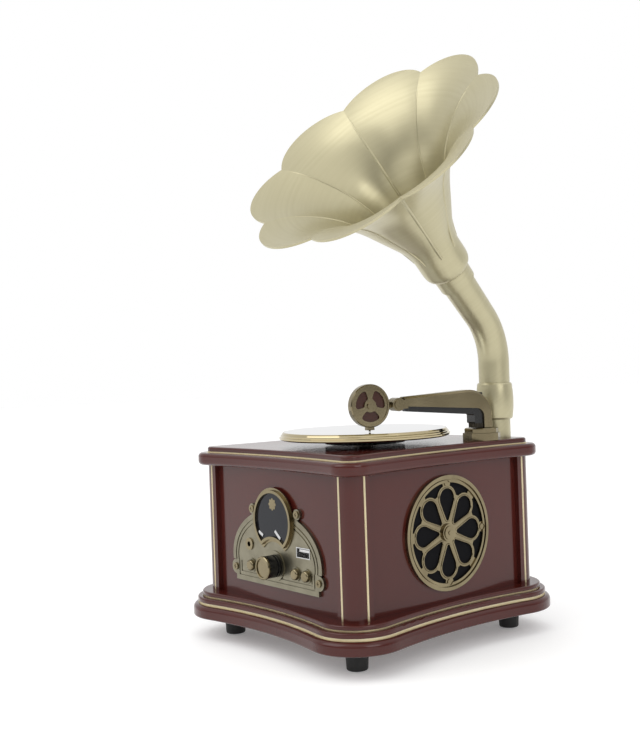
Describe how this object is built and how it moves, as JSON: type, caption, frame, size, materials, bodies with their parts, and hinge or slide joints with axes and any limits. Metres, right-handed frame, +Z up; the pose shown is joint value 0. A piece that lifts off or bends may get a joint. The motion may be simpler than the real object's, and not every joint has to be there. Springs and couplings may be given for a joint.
{
  "type": "gramophone",
  "caption": "Tabletop gramophone with a petalled horn on a bent neck, swinging tonearm, turning mirror platter, wooden cabinet with rosette side grilles and a control plate.",
  "frame": {"origin": "centre of the plinth's plan on the plane the feet stand on", "axes": "+Z up; -Y is the front with the controls; +X is the right side as seen from the front"},
  "size_m": [0.2651, 0.22, 0.3964],
  "materials": {
    "lacquered_wood": "glossy red-brown lacquer",
    "antique_brass": "satin antique brass",
    "polished_brass": "polished",
    "champagne_gold": "satin champagne gold",
    "mirror_glass": "mirror",
    "black_plastic": "gloss black",
    "black_rubber": "matt black",
    "black_cloth": "matt black woven",
    "dark_glass": "dark glass",
    "steel": "plain",
    "circuit_board": "matt green",
    "aluminium": "plain",
    "board": "matt brown board",
    "speaker_paper": "matt",
    "diaphragm_red": "dark red-brown"
  },
  "bodies": {
    "cabinet": {"amplifier_board": "circuit_board", "arm_foot": "antique_brass", "arm_nut": "steel", "aux_jack": "antique_brass", "control_board": "circuit_board", "control_plate": "antique_brass", "corner_posts": "lacquered_wood", "display_bezel": "antique_brass", "display_module": "black_plastic", "display_window": "dark_glass", "feet": "black_rubber", "foot_screws": "steel", "front_panel": "lacquered_wood", "grille_screws": "antique_brass", "hatch_plate": "board", "hatch_screws": "steel", "heat_sink": "aluminium", "horn_socket": "champagne_gold", "left_basket": "black_plastic", "left_cloth": "black_cloth", "left_cone": "speaker_paper", "left_grille": "antique_brass", "left_panel": "lacquered_wood", "lid": "lacquered_wood", "plate_screws": "antique_brass", "platter_bush": "polished_brass", "plinth": "lacquered_wood", "power_inlet": "black_plastic", "rear_panel": "lacquered_wood", "right_basket": "black_plastic", "right_cloth": "black_cloth", "right_cone": "speaker_paper", "right_grille": "antique_brass", "right_panel": "lacquered_wood", "socket_ring": "steel", "usb_socket": "aluminium"},
    "platter": {"platter_rim": "polished_brass", "platter_pan": "black_plastic", "mirror_disc": "mirror_glass", "toothed_disc": "black_plastic", "platter_spindle": "steel"},
    "tonearm": {"arm_shell": "antique_brass", "arm_channel": "black_plastic", "arm_column": "black_plastic", "knuckle_pin": "antique_brass"},
    "soundbox": {"soundbox_arm": "antique_brass", "soundbox_shell": "antique_brass", "soundbox_face": "antique_brass", "soundbox_diaphragm": "diaphragm_red", "stylus": "antique_brass"},
    "horn": {"horn_sleeve": "champagne_gold", "horn_elbow": "champagne_gold", "horn_bell": "champagne_gold"},
    "knob": {"volume_knob": "black_plastic", "knob_cap": "antique_brass"},
    "left_button": {"button_left": "antique_brass"},
    "middle_button": {"button_middle": "antique_brass"},
    "right_button": {"button_right": "antique_brass"}
  },
  "joints": [
    {"name": "platter_spin", "type": "hinge", "parent": "cabinet", "child": "platter", "pos_m": [0.017, -0.015, 0.1402], "axis": [0, 0, 1], "continuous": true},
    {"name": "tonearm_swing", "type": "hinge", "parent": "cabinet", "child": "tonearm", "pos_m": [0.0679, 0.0509, 0.15], "axis": [0, 0, 1], "range_deg": [-15, 25]},
    {"name": "soundbox_lift", "type": "hinge", "parent": "tonearm", "child": "soundbox", "pos_m": [0.05082, -0.01513, 0.1649], "axis": [-0.9681, 0.2504, 0], "range_deg": [0, 60]},
    {"name": "horn_swivel", "type": "hinge", "parent": "cabinet", "child": "horn", "pos_m": [0.0605, 0.0745, 0.15], "axis": [0, 0, 1], "range_deg": [-60, 60]},
    {"name": "volume_turn", "type": "hinge", "parent": "cabinet", "child": "knob", "pos_m": [0.0008, -0.0848, 0.059], "axis": [0, -1, 0], "range_deg": [-150, 150]},
    {"name": "left_button_press", "type": "slide", "parent": "cabinet", "child": "left_button", "axis": [0, 1, 0], "range_m": [0, 0.0012], "stiffness_N_per_m": 400},
    {"name": "middle_button_press", "type": "slide", "parent": "cabinet", "child": "middle_button", "axis": [0, 1, 0], "range_m": [0, 0.0012], "stiffness_N_per_m": 400},
    {"name": "right_button_press", "type": "slide", "parent": "cabinet", "child": "right_button", "axis": [0, 1, 0], "range_m": [0, 0.0012], "stiffness_N_per_m": 400}
  ]
}
